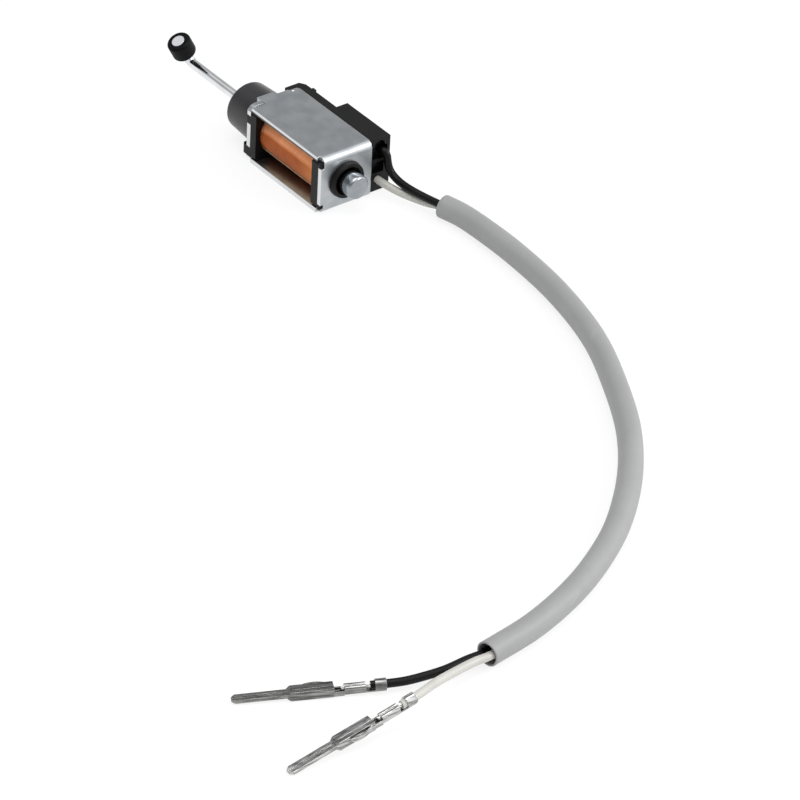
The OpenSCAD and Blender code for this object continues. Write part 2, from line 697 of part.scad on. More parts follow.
module housing_body() {
    // deep block with a chamfered top outer edge
    translate([housing_front_x, side_y, 0]) rotate([90, 0, -90]) linear_extrude(housing_len)
        polygon([[0, housing_lift], [-housing_depth, housing_lift],
                 [-housing_depth, housing_top_z - housing_chamfer],
                 [-housing_depth + housing_chamfer, housing_top_z], [0, housing_top_z]]);
    // thin strip along the rear half of the frame, bevelled at its rear corner
    translate([0, 0, housing_lift]) linear_extrude(housing_top_z - housing_lift) polygon([
        [strip_rear_x, side_y], [housing_rear_x + e, side_y], [housing_rear_x + e, side_y + strip_depth],
        [strip_rear_x + strip_bevel_x, side_y + strip_depth],
        [strip_rear_x, side_y + strip_depth - strip_bevel_y]]);
    // lip that hooks behind the back plate, cut back round the rear cap
    difference() {
        span([strip_rear_x, side_y - lip_in, axis_z - lip_down], [lip_x, side_y + e, housing_top_z]);
        rod_x(cap_base_d + 2 * fit_gap, strip_rear_x - beyond, lip_x + beyond);
    }
    // latch nub on the strip's top edge
    translate([nub_x, side_y + strip_depth - e, housing_top_z - nub_h]) rotate([90, 0, 90])
        linear_extrude(nub_len)
            polygon([[0, 0], [nub_out, nub_h - nub_slope], [nub_out, nub_h], [0, nub_h]]);
}

module terminal_housing() color([0.09, 0.09, 0.1]) difference() {
    housing_body();
    // upper wire bay with an arched roof
    span([pocket_floor_x, side_y + bay_wall, upper_wire_z - bay_low],
         [housing_front_x + beyond, side_y + housing_depth - bay_outer_wall, upper_wire_z + bay_high]);
    rod_x(bay_arch_d, pocket_floor_x, housing_front_x + beyond, side_y + housing_depth / 2,
          upper_wire_z + bay_high);
    // empty lower bay
    span([pocket_floor_x, side_y + bay_wall, lower_wire_z + slot_low],
         [housing_front_x + beyond, side_y + housing_depth - slot_outer_wall,
          upper_wire_z - bay_low - bay_bar]);
    // bores for the wires, and slots for the pins and the fine wire ends
    for (w = [[upper_wire_y, upper_wire_z], [lower_wire_y, lower_wire_z]]) {
        rod_x(cavity_d, pin_back_x - fit_gap, housing_front_x + beyond, w[0], w[1]);
        translate([pin_back_x - post_len - fit_gap, w[0], w[1]])
            span([0, -pin_w / 2 - fit_gap, -pin_w / 2 - fit_gap],
                 [post_len + beyond, pin_w / 2 + fit_gap, pin_w / 2 + fit_gap]);
        translate([tail_x, side_y - beyond, w[1]]) rotate([-90, 0, 0])
            cylinder(d = tail_bore, h = w[0] - side_y + beyond);
    }
}

module coil_pin(y, z) color([0.8, 0.78, 0.7]) {
    rod_x(barrel_d, pin_back_x, lead_start_x, y, z);
    translate([pin_back_x - post_len, y, z])
        span([0, -pin_w / 2, -pin_w / 2], [post_len + e, pin_w / 2, pin_w / 2]);
}

module coil_pin_upper() coil_pin(upper_wire_y, upper_wire_z);
module coil_pin_lower() coil_pin(lower_wire_y, lower_wire_z);

// ---------------------------------------------------------------- cords and contacts

// The lead's line inside the sleeve; the two leads run on opposite sides, black 1 and white -1.
function in_sleeve(side) = let (path = at_height(sleeve_route, sleeve_z), last = len(path) - 1)
    [for (i = [0 : last]) let (t = tangent(path, i),
        a = near_turn + (far_turn - near_turn) * i / last)
        path[i] + side * lead_shift * [cos(a) * t.y, -cos(a) * t.x, sin(a)]];

function lead_path(y, z, near, side, far, end, a, pitch) = concat(
    [[lead_start_x, y, z], [housing_front_x, y, z]],
    [for (p = near) p + [housing_front_x, 0, 0]],
    in_sleeve(side), far,
    [end, end + crimp_x * heading(a, pitch)]);

module lead_black() color([0.12, 0.12, 0.12]) swept_rod(
    lead_path(upper_wire_y, upper_wire_z, black_near, 1, black_far,
        black_end, black_heading, black_pitch), lead_d / 2, 8);

module lead_white() color([0.86, 0.86, 0.83]) swept_rod(
    lead_path(lower_wire_y, lower_wire_z, white_near, -1, white_far,
        white_end, white_heading, white_pitch), lead_d / 2, 8);

module cable_sleeve() color([0.62, 0.63, 0.63])
    swept_tube(at_height(sleeve_route, sleeve_z), sleeve_d / 2, sleeve_wall, 10);

// Crimp contact along +X: insulation crimp, conductor crimp, neck, box and blade.
module contact(lance_side) {
    floor_z = -lead_d / 2 - strip_t;
    // insulation crimp, split along its top
    difference() {
        rod_x(ring_d, 0, ring_len, 0, 0);
        rod_x(lead_d, -beyond, ring_len + beyond, 0, 0);
        span([-beyond, -ring_split / 2, 0], [ring_len + beyond, ring_split / 2, ring_d]);
    }
    // floor of the sheet from the crimp to the box
    span([0, -floor_w / 2, floor_z], [box_x + e, floor_w / 2, floor_z + strip_t]);
    // conductor crimp with two rolled lobes
    difference() {
        union() {
            for (s = [-1, 1]) rod_x(lobe_d, crimp_x, neck_x, s * lobe_y, lobe_z);
            span([crimp_x, -crimp_w / 2, floor_z + strip_t - e], [neck_x, crimp_w / 2, lobe_z]);
        }
        span([crimp_x - beyond, -crease_w / 2, crease_z], [neck_x + beyond, crease_w / 2, lobe_d]);
    }
    // neck: two low side walls
    for (s = [-1, 1]) span([neck_x - e, s * neck_y - neck_wall / 2, floor_z],
                           [box_x + e, s * neck_y + neck_wall / 2, neck_top_z]);
    // box with bevelled front and a seam along its top
    difference() {
        intersection() {
            side_on(box_w) polygon([
                [box_x, -box_h / 2], [blade_x - box_slope, -box_h / 2], [blade_x, -blade_t / 2],
                [blade_x, blade_t / 2], [blade_x - box_slope, box_h / 2], [box_x, box_h / 2]]);
            translate([0, 0, -box_h]) linear_extrude(2 * box_h) polygon([
                [box_x, -box_w / 2], [blade_x - box_taper, -box_w / 2], [blade_x, -blade_w / 2],
                [blade_x, blade_w / 2], [blade_x - box_taper, box_w / 2], [box_x, box_w / 2]]);
        }
        span([box_x - beyond, -box_w / 2 + strip_t, -box_h / 2 + strip_t],
             [box_x + mouth_len, box_w / 2 - strip_t, box_h / 2 - strip_t]);
        span([box_x - beyond, seam_y, box_h / 2 - seam_depth],
             [blade_x - box_slope - strip_t, seam_y + seam_w, box_h]);
    }
    // locking lance, a bowed tongue on one side of the box
    intersection() {
        translate([box_x + lance_x, lance_side * (box_w / 2 + lance_bow - lance_r), lance_low])
            difference() {
                cylinder(r = lance_r, h = lance_w);
                translate([0, 0, -beyond]) cylinder(r = lance_r - lance_t, h = lance_w + 2 * beyond);
            }
        translate([box_x + lance_x, lance_side * (box_w / 2 + lance_bow / 2), 0])
            cube([lance_len, lance_bow + lance_t, box_h], center = true);
    }
    // folded blade with a groove on each face and a chamfered tip
    difference() {
        intersection() {
            translate([0, 0, -blade_t / 2]) linear_extrude(blade_t) polygon([
                [blade_x - e, -blade_w / 2], [contact_len - tip_taper, -blade_w / 2],
                [contact_len, -blade_w / 2 + tip_side], [contact_len, blade_w / 2 - tip_side],
                [contact_len - tip_taper, blade_w / 2], [blade_x - e, blade_w / 2]]);
            side_on(2 * blade_w) polygon([
                [blade_x - beyond, -blade_t / 2], [contact_len - tip_slope, -blade_t / 2],
                [contact_len, -tip_edge / 2], [contact_len, tip_edge / 2],
                [contact_len - tip_slope, blade_t / 2], [blade_x - beyond, blade_t / 2]]);
        }
        for (s = [-1, 1]) translate([0, 0, s * blade_t / 2])
            span([blade_x, -groove_w / 2, -groove_depth],
                 [contact_len + beyond, groove_w / 2, groove_depth]);
    }
}

module placed(end, a, pitch) {
    translate(end) rotate([0, pitch, a]) children();
}

module terminal_black() color([0.75, 0.76, 0.77])
    placed(black_end, black_heading, black_pitch) contact(-1);
module terminal_white() color([0.75, 0.76, 0.77])
    placed(white_end, white_heading, white_pitch) contact(1);

frame_yoke();
back_plate();
bobbin();
coil_winding();
coil_tails();
guide_tube();
pole_core();
damping_washer();
plunger();
push_rod();
knob();
retaining_clip();
spring_washer();
return_spring();
rear_cap();
terminal_housing();
coil_pin_upper();
coil_pin_lower();
lead_black();
lead_white();
cable_sleeve();
terminal_black();
terminal_white();
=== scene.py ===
import math

import bmesh
import bpy
from mathutils import Matrix, Vector


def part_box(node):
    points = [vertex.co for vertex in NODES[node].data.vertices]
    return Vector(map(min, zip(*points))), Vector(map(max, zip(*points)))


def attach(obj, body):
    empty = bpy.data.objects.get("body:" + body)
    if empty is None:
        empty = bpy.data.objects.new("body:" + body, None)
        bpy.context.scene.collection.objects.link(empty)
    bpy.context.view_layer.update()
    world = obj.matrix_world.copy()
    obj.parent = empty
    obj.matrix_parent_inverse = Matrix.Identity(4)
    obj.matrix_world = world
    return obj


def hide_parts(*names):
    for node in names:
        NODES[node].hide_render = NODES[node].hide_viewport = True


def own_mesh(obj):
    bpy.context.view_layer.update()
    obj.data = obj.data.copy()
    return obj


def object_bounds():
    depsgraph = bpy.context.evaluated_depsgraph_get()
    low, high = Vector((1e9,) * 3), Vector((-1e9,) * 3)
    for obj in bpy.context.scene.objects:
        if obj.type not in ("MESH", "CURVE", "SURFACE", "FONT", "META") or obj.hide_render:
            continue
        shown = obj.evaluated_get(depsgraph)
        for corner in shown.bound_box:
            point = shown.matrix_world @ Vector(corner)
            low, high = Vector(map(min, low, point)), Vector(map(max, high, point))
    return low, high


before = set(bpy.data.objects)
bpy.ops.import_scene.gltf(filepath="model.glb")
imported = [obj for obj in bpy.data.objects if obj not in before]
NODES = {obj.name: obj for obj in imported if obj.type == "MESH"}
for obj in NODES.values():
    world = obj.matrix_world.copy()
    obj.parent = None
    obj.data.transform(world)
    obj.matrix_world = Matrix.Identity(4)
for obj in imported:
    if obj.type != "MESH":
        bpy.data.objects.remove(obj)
cad_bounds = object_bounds()

MM = 0.001
FIXED = "frame_body"
scene = bpy.context.scene

# Camera fitted to the photo: degrees and metres
LENS, SENSOR = 240.44, 36
AZIMUTH, ELEVATION, ROLL = 51.297, 34.781, 2.927
AIM, DISTANCE = (0.08847, -0.03884, 0), 1.24305

# The yoke's cut faces, mm: how far in from the side they begin and are full,
# and how far below the top the band of painted shade begins, is full, starts to end and ends
CUT_EDGE, CUT_FULL = 0.08, 0.04
SHADE_BAND_EDGE, SHADE_BAND_FULL, SHADE_BAND_LOW, SHADE_BAND_END = 0.70, 0.80, 1.35, 1.40
# Colours of the cut faces: a painted highlight, and painted shade for the band
PAINTED_EDGE_HIGHLIGHT, PAINTED_EDGE_SHADE = (0.72, 0.73, 0.74), (0.09, 0.09, 0.09)

# The winding's tones, mm: heights above the axis between which the lit tone turns into the painted shade
# below, places along X between which the front tone comes in, and the painted highlight line's two soft
# edges
PAINTED_SHADE_TOP, PAINTED_SHADE_LOW = 2.4, 1.4
FRONT_FROM, FRONT_TO = 3, 10
HIGHLIGHT_LINE_LOW, HIGHLIGHT_LINE_HIGH = (-4.5, -4.4), (-3.2, -3.1)
HIGHLIGHT_LINE_COLOUR = (1.0, 0.80, 0.55)
WAVER = 0.3


# ---------------------------------------------------------------- camera and lamps

def look_from(azimuth, elevation, roll, aim, distance):
    """Camera matrix that looks at aim; azimuth 0 looks along +Y and 90 along -X."""
    a, e, t = (math.radians(x) for x in (azimuth, elevation, roll))
    forward = Vector((-math.sin(a) * math.cos(e), math.cos(a) * math.cos(e), -math.sin(e)))
    right = Vector((math.cos(a), math.sin(a), 0))
    up = right.cross(forward)
    x = math.cos(t) * right + math.sin(t) * up
    y = -math.sin(t) * right + math.cos(t) * up
    turn = Matrix((x, y, -forward)).transposed().to_4x4()
    return Matrix.Translation(Vector(aim) - distance * forward) @ turn


camera_data = bpy.data.cameras.new("camera")
camera_data.lens = LENS
camera_data.sensor_width = SENSOR
camera_data.clip_start = 0.05
camera_data.clip_end = 50
camera = bpy.data.objects.new("camera", camera_data)
scene.collection.objects.link(camera)
camera.matrix_world = look_from(AZIMUTH, ELEVATION, ROLL, AIM, DISTANCE)
scene.camera = camera
scene.view_settings.view_transform = "Standard"


def softbox(name, place, aim, size, watts):
    """Rectangular area lamp that points at aim."""
    data = bpy.data.lights.new(name, "AREA")
    data.shape = "RECTANGLE"
    data.size, data.size_y = size
    data.energy = watts
    lamp = bpy.data.objects.new(name, data)
    scene.collection.objects.link(lamp)
    lamp.location = place
    lamp.rotation_mode = "QUATERNION"
    lamp.rotation_quaternion = (Vector(aim) - Vector(place)).to_track_quat("-Z", "Y")


softbox("overhead", (0.12, -0.10, 0.85), (0.08, -0.04, 0), (0.55, 0.55), 2.8)
softbox("side", (0.62, 0.52, 0.60), (0.05, -0.02, 0), (0.42, 0.24), 3.0)


# ---------------------------------------------------------------- material helpers

class Shader:
    """A material's node tree with short calls for the nodes that are used here."""

    def __init__(self, name):
        self.material = bpy.data.materials.new(name)
        self.material.use_nodes = True
        self.tree = self.material.node_tree
        self.bsdf = self.tree.nodes["Principled BSDF"]
        self.place = self.add("ShaderNodeTexCoord").outputs["Object"]

    def add(self, kind, **values):
        node = self.tree.nodes.new(kind)
        for key, value in values.items():
            setattr(node, key, value)
        return node

    def put(self, socket, value):
        if isinstance(value, bpy.types.NodeSocket):
            self.tree.links.new(value, socket)
        elif hasattr(value, "__len__") and socket.type == "RGBA":
            socket.default_value = (*value, 1)
        else:
            socket.default_value = value

    def set(self, **values):
        for key, value in values.items():
            self.put(self.bsdf.inputs[key.replace("_", " ")], value)

    def stretched(self, factors, turn=0.0):
        """The object's place turned back by turn about Z, then scaled along its own axes."""
        turned_back = self.add("ShaderNodeMapping")
        self.put(turned_back.inputs["Vector"], self.place)
        turned_back.inputs["Rotation"].default_value = (0, 0, -turn)
        node = self.add("ShaderNodeMapping")
        self.put(node.inputs["Vector"], turned_back.outputs["Vector"])
        node.inputs["Scale"].default_value = factors
        return node.outputs["Vector"]

    def noise(self, scale, detail=3, rough=0.5, at=None, warp=0):
        node = self.add("ShaderNodeTexNoise")
        self.put(node.inputs["Vector"], at or self.place)
        node.inputs["Scale"].default_value = scale
        node.inputs["Detail"].default_value = detail
        node.inputs["Roughness"].default_value = rough
        node.inputs["Distortion"].default_value = warp
        return node.outputs["Fac"]

    def math(self, kind, a, b=0.0):
        node = self.add("ShaderNodeMath", operation=kind)
        self.put(node.inputs[0], a)
        self.put(node.inputs[1], b)
        return node.outputs[0]

    def spread(self, value, low, high, to_low, to_high):
        """The value mapped from low..high to to_low..to_high, held at both ends."""
        node = self.add("ShaderNodeMapRange")
        self.put(node.inputs["Value"], value)
        for key, number in zip(("From Min", "From Max", "To Min", "To Max"), (low, high, to_low, to_high)):
            node.inputs[key].default_value = number
        return node.outputs[0]

    def mix(self, factor, a, b):
        node = self.add("ShaderNodeMix", data_type="RGBA")
        self.put(node.inputs["Factor"], factor)
        self.put(node.inputs[6], a)
        self.put(node.inputs[7], b)
        return node.outputs[2]

    def rounded(self, radius):
        node = self.add("ShaderNodeBevel", samples=6)
        node.inputs["Radius"].default_value = radius * MM
        return node.outputs["Normal"]

    def edges(self, radius, reach=0.35):
        """1 along convex and concave edges, 0 on open faces."""
        true = self.add("ShaderNodeNewGeometry").outputs["True Normal"]
        dot = self.add("ShaderNodeVectorMath", operation="DOT_PRODUCT")
        self.put(dot.inputs[0], true)
        self.put(dot.inputs[1], self.rounded(radius))
        return self.spread(dot.outputs["Value"], 1, 1 - reach, 0, 1)

    def bump(self, height, depth, normal=None):
        node = self.add("ShaderNodeBump")
        node.inputs["Strength"].default_value = 1.0
        node.inputs["Distance"].default_value = depth * MM
        self.put(node.inputs["Height"], height)
        if normal:
            self.put(node.inputs["Normal"], normal)
        self.put(self.bsdf.inputs["Normal"], node.outputs["Normal"])


def metal(name, dark, light, rough, grain=None, edge=0.12, bumps=0.004, blotch=260, ripple=0.0,
          streak=0.0, turn=0.0, shine=1.22, octaves=4, patchy=1.0):
    """Bare or plated metal: blotched tone and gloss, fine grain, rounded edges painted brighter as edge
    wear and painted highlight.
    """
    s = Shader(name)
    cloud = s.noise(blotch, octaves, 0.6)
    fine = s.noise(1, 2, 0.6, s.stretched(grain or (2600, 2600, 2600), turn))
    edge_wear_and_highlight = s.edges(edge)
    tone = s.mix(s.spread(cloud, 0.35, 0.65, 0, 1), dark, light)
    if streak:
        tone = s.mix(s.spread(fine, 0.42, 0.62, 0, streak), tone, [0.3 * x for x in dark])
    # edges painted brighter: edge wear and painted highlight
    bright = [min(1, shine * x) for x in light]
    s.set(Base_Color=s.mix(s.math("MULTIPLY", edge_wear_and_highlight, 0.6), tone, bright), Metallic=1.0)
    wide, narrow = 0.05 * patchy, 0.04 * patchy
    gloss = s.math("ADD", s.spread(cloud, 0.3, 0.7, rough - wide, rough + wide),
                   s.spread(fine, 0.3, 0.7, -narrow, narrow))
    s.set(Roughness=gloss)
    if ripple:
        waves = s.math("MULTIPLY", s.noise(520, 2, 0.5, warp=0.6), ripple / bumps)
        fine = s.math("ADD", fine, waves)
    s.bump(fine, bumps, s.rounded(edge))
    return s


def plastic(name, dark, light, rough, texture=2200, depth=0.006, edge=0.12, specular=0.5):
    """Moulded plastic or rubber: faint flow marks, fine skin texture, soft edges painted paler as edge
    wear and painted highlight.
    """
    s = Shader(name)
    flow = s.noise(140, 3, 0.55, warp=0.4)
    skin = s.noise(texture, 3, 0.6)
    edge_wear_and_highlight = s.edges(edge)
    tone = s.mix(s.spread(flow, 0.3, 0.7, 0, 1), dark, light)
    # edges painted paler: edge wear and painted highlight
    edge_wear_and_highlight_tone = [x * 1.5 + 0.01 for x in light]
    s.set(Base_Color=s.mix(s.math("MULTIPLY", edge_wear_and_highlight, 0.5), tone, edge_wear_and_highlight_tone), Specular_IOR_Level=specular)
    s.set(Roughness=s.math("ADD", s.spread(flow, 0.3, 0.7, rough - 0.05, rough + 0.05),
                           s.spread(skin, 0.3, 0.7, -0.05, 0.05)))
    s.bump(skin, depth, s.rounded(edge))
    return s


# ---------------------------------------------------------------- materials

axis_z = (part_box("plunger")[0].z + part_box("plunger")[1].z) / 2

zinc = metal("zinc_sheet", (0.40, 0.43, 0.45), (0.48, 0.50, 0.51), 0.33, grain=(260, 2600, 2600),
             edge=0.22, bumps=0.0005, ripple=0.004, shine=1.6, octaves=1, patchy=0.2)


def sheared(s, node):
    """The sheet's cut faces: a painted highlight, with a near-black band of painted shade on the top
    plate.
    """
    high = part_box(node)[1]
    split = s.add("ShaderNodeSeparateXYZ")
    s.put(split.inputs[0], s.place)
    side = s.math("ABSOLUTE", split.outputs["Y"])
    cut = s.spread(side, high.y - CUT_EDGE * MM, high.y - CUT_FULL * MM, 0, 1)
    above = s.spread(split.outputs["Z"], high.z - SHADE_BAND_FULL * MM, high.z - SHADE_BAND_EDGE * MM, 1, 0)
    below = s.spread(split.outputs["Z"], high.z - SHADE_BAND_END * MM, high.z - SHADE_BAND_LOW * MM, 0, 1)
    # painted highlight on the cut faces, painted shade in the band below the top
    painted_edge_light = s.mix(s.math("MULTIPLY", above, below), PAINTED_EDGE_HIGHLIGHT, PAINTED_EDGE_SHADE)
    tone = s.bsdf.inputs["Base Color"].links[0].from_socket
    s.set(Base_Color=s.mix(cut, tone, painted_edge_light))


sheared(zinc, "frame_yoke")
steel = metal("core_steel", (0.50, 0.51, 0.52), (0.58, 0.58, 0.58), 0.34)
bright = metal("bright_rod", (0.72, 0.73, 0.74), (0.82, 0.83, 0.84), 0.13, grain=(180, 1800, 1800),
               edge=0.08, bumps=0.0015)
spring_steel = metal("spring_steel", (0.30, 0.31, 0.33), (0.40, 0.41, 0.42), 0.3, edge=0.05)
tin = metal("tin_plate", (0.46, 0.46, 0.455), (0.62, 0.62, 0.61), 0.16, grain=(2400, 160, 2400), edge=0.14,
            bumps=0.0015, blotch=300, streak=0.85, shine=1.4)
# A darker copy of the tin plate for the black lead's contact: painted shade
shaded_tin = metal("shaded_tin_plate", (0.25, 0.25, 0.245), (0.37, 0.37, 0.36), 0.18, grain=(160, 2400, 2400),
                 edge=0.14, bumps=0.0015, blotch=300, streak=0.85, turn=math.radians(-117), shine=1.8)
brass = metal("brass_tube", (0.66, 0.50, 0.22), (0.74, 0.58, 0.28), 0.28)
nylon = plastic("black_nylon", (0.002, 0.002, 0.0024), (0.005, 0.005, 0.0055), 0.46, specular=0.2)
cap_black = plastic("cap_plastic", (0.010, 0.010, 0.012), (0.016, 0.016, 0.018), 0.36, texture=1500,
                    depth=0.01, specular=0.55)
rubber = plastic("black_rubber", (0.0015, 0.0015, 0.002), (0.004, 0.004, 0.005), 0.5, texture=1800,
                 depth=0.012, specular=0.1)
black_pvc = plastic("black_pvc", (0.002, 0.002, 0.002), (0.004, 0.004, 0.004), 0.36, texture=900,
                    depth=0.008, specular=0.16)
white_pvc = plastic("white_pvc", (0.43, 0.425, 0.39), (0.48, 0.475, 0.44), 0.42, texture=900, depth=0.01)


def turned(name, dark, light, rough):
    """Turned steel: fine rings about the plunger's axis on the end faces, fine bands along it."""
    s = metal(name, dark, light, rough, grain=(1500, 300, 300), edge=0.1, bumps=0.001)
    shift = s.add("ShaderNodeMapping")
    s.put(shift.inputs["Vector"], s.place)
    shift.inputs["Location"].default_value = (0, 0, -axis_z)
    wave = s.add("ShaderNodeTexWave", wave_type="RINGS", rings_direction="X")
    s.put(wave.inputs["Vector"], shift.outputs["Vector"])
    wave.inputs["Scale"].default_value = 800
    wave.inputs["Distortion"].default_value = 0.6
    wave.inputs["Detail"].default_value = 2
    s.bump(wave.outputs["Fac"], 0.0015, s.rounded(0.1))
    return s


plunger_steel = turned("plunger_steel", (0.29, 0.315, 0.335), (0.36, 0.38, 0.40), 0.11)


def enamelled():
    """Enamelled copper: lit tone above, painted shade low down, streaked, with a pale painted highlight
    line low on one side.
    """
    s = Shader("copper_wire")
    cloud = s.noise(180, 4, 0.6)
    streak = s.noise(1, 2, 0.5, s.stretched((5000, 160, 160)))
    shift = s.noise(70, 2)
    split = s.add("ShaderNodeSeparateXYZ")
    s.put(split.inputs[0], s.place)
    wavy = s.math("ADD", split.outputs["Z"], s.spread(shift, 0.3, 0.7, -WAVER * MM, WAVER * MM))
    # painted shade mask: 1 low on the coil, where less light falls
    low = s.spread(wavy, axis_z + PAINTED_SHADE_TOP * MM, axis_z + PAINTED_SHADE_LOW * MM, 0, 1)
    # one copper in a lit copy above and a painted shade copy below
    lit_tone = s.mix(s.spread(cloud, 0.3, 0.7, 0, 1), (0.76, 0.29, 0.130), (0.88, 0.385, 0.185))
    painted_shade_tone = s.mix(s.spread(cloud, 0.3, 0.7, 0, 1), (0.30, 0.062, 0.008), (0.41, 0.102, 0.016))
    tone = s.mix(low, lit_tone, painted_shade_tone)
    front = s.spread(split.outputs["X"], FRONT_FROM * MM, FRONT_TO * MM, 0, 0.5)
    tone = s.mix(front, tone, (0.72, 0.30, 0.085))
    tone = s.mix(s.spread(streak, 0.35, 0.75, 0, 0.4), tone, (0.34, 0.10, 0.03))
    # painted highlight: a pale line low on the -Y side
    over = s.spread(wavy, axis_z + HIGHLIGHT_LINE_LOW[0] * MM, axis_z + HIGHLIGHT_LINE_LOW[1] * MM, 0, 1)
    under = s.spread(wavy, axis_z + HIGHLIGHT_LINE_HIGH[0] * MM, axis_z + HIGHLIGHT_LINE_HIGH[1] * MM, 1, 0)
    outside = s.spread(split.outputs["Y"], -1 * MM, 0, 1, 0)
    highlight_line = s.math("MULTIPLY", s.math("MULTIPLY", over, under), outside)
    s.set(Base_Color=s.mix(s.math("MULTIPLY", highlight_line, 0.8), tone, HIGHLIGHT_LINE_COLOUR))
    s.set(Metallic=0.88, Roughness=0.38, Coat_Weight=0.12, Coat_Roughness=0.2)
    s.bump(streak, 0.004)
    return s


copper = enamelled()


def sleeve_pvc():
    """Grey soft PVC: matt with faint waves, blotches and a few scuffs."""
    s = Shader("grey_pvc")
    cloud = s.noise(60, 4, 0.6)
    skin = s.noise(1400, 3, 0.6)
    scuff = s.noise(1, 2, 0.4, s.stretched((500, 120, 500), 0.6))
    tone = s.mix(s.spread(cloud, 0.3, 0.7, 0, 1), (0.255, 0.257, 0.256), (0.285, 0.286, 0.284))
    s.set(Base_Color=s.mix(s.spread(scuff, 0.66, 0.8, 0, 0.35), tone, (0.34, 0.34, 0.34)))
    s.set(Roughness=s.math("ADD", s.spread(cloud, 0.3, 0.7, 0.42, 0.54),
                           s.spread(skin, 0.3, 0.7, -0.04, 0.04)))
    s.set(Specular_IOR_Level=0.4)
    s.bump(s.math("ADD", skin, s.math("MULTIPLY", s.noise(220, 2), 3.0)), 0.012)
    return s


grey_pvc = sleeve_pvc()

FINISH = {
    "frame_yoke": zinc, "back_plate": zinc, "bobbin": nylon, "coil_winding": copper,
    "coil_tails": copper, "guide_tube": brass, "pole_core": steel, "damping_washer": rubber,
    "plunger": plunger_steel, "push_rod": bright, "knob": rubber, "retaining_clip": spring_steel,
    "spring_washer": steel, "return_spring": spring_steel, "rear_cap": cap_black,
    "terminal_housing": nylon, "coil_pin_upper": tin, "coil_pin_lower": tin,
    "lead_black": black_pvc, "lead_white": white_pvc, "cable_sleeve": grey_pvc,
    "terminal_black": shaded_tin, "terminal_white": tin,
}
for name, shader in FINISH.items():
    materials = NODES[name].data.materials
    if not len(materials):
        materials.append(shader.material)
    for i in range(len(materials)):
        materials[i] = shader.material


# ---------------------------------------------------------------- mesh helpers

def piece(name, points, faces, shader, slot=None, stands_for=()):
    """A smooth-shaded piece of the fixed body, sharp where its faces meet at over 40 degrees."""
    mesh = bpy.data.meshes.new(name)
    mesh.from_pydata([tuple(p) for p in points], [], faces)
    mesh.materials.append(shader.material)
    mesh.validate()
    mesh.update()
    b = bmesh.new()
    b.from_mesh(mesh)
    bmesh.ops.recalc_face_normals(b, faces=b.faces)
    b.to_mesh(mesh)
    b.free()
    for p in mesh.polygons:
        p.use_smooth = True
    mesh.set_sharp_from_angle(angle=math.radians(40))
    obj = bpy.data.objects.new(name, mesh)
    scene.collection.objects.link(obj)
    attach(obj, FIXED)
    if stands_for:
        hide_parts(*stands_for)
    return obj


def smooth_path(points, step):
    """Centripetal Catmull-Rom line through the points, resampled to equal steps."""
    p = [Vector(q) for q in points]
    p = [2 * p[0] - p[1], *p, 2 * p[-1] - p[-2]]
    fine = []
    for i in range(1, len(p) - 2):
        a, b, c, d = p[i - 1:i + 3]
        t1 = (b - a).length ** 0.5
        t2 = t1 + (c - b).length ** 0.5
        t3 = t2 + (d - c).length ** 0.5
        count = max(2, round((c - b).length / step * 3))
        for k in range(count):
            t = t1 + (t2 - t1) * k / count
            ab = a + (b - a) * (t / t1)
            bc = b + (c - b) * ((t - t1) / (t2 - t1))
            cd = c + (d - c) * ((t - t2) / (t3 - t2))
            ac = ab + (bc - ab) * (t / t2)
            bd = bc + (cd - bc) * ((t - t1) / (t3 - t1))
            fine.append(ac + (bd - ac) * ((t - t1) / (t2 - t1)))
    fine.append(p[-2])
    return resampled(fine, step)


def resampled(line, step):
    """The line cut anew into equal steps."""
    along = [0]
    for a, b in zip(line, line[1:]):
        along.append(along[-1] + (b - a).length)
    count = max(2, round(along[-1] / step))
    out, j = [], 0
    for i in range(count + 1):
        at = along[-1] * i / count
        while j < len(line) - 2 and along[j + 1] < at:
            j += 1
        out.append(line[j].lerp(line[j + 1], (at - along[j]) / (along[j + 1] - along[j])))
    return out


def frames(line):
    """Tangent and two normals at each point of a line, turning as little as possible."""
    out, side = [], None
    for i, p in enumerate(line):
        t = (line[min(i + 1, len(line) - 1)] - line[max(i - 1, 0)]).normalized()
        if side is None:
            side = t.cross(Vector((0, 0, 1)))
        side = (side - t * side.dot(t)).normalized()
        out.append((p, t, side, side.cross(t)))
    return out


def ring(at, radius, sides):
    """Points of a circle round one frame of a line."""
    p, _, s, u = at
    out = []
    for k in range(sides):
        a = 2 * math.pi * k / sides
        out.append(p + radius * (math.cos(a) * s + math.sin(a) * u))
    return out


def skin(rings, closed_ends=True):
    """Points and faces of a tube through rings of equal size."""
    n = len(rings[0])
    points = [q for r in rings for q in r]
    faces = [(i * n + k, i * n + (k + 1) % n, (i + 1) * n + (k + 1) % n, (i + 1) * n + k)
             for i in range(len(rings) - 1) for k in range(n)]
    if closed_ends:
        faces += [tuple(range(n - 1, -1, -1)), tuple((len(rings) - 1) * n + k for k in range(n))]
    return points, faces


def heading(turn, pitch):
    """Direction turned about Z from +X and tipped down by pitch, in degrees."""
    a, p = math.radians(turn), math.radians(pitch)
    return Vector((math.cos(a) * math.cos(p), math.sin(a) * math.cos(p), -math.sin(p)))


# ---------------------------------------------------------------- cords

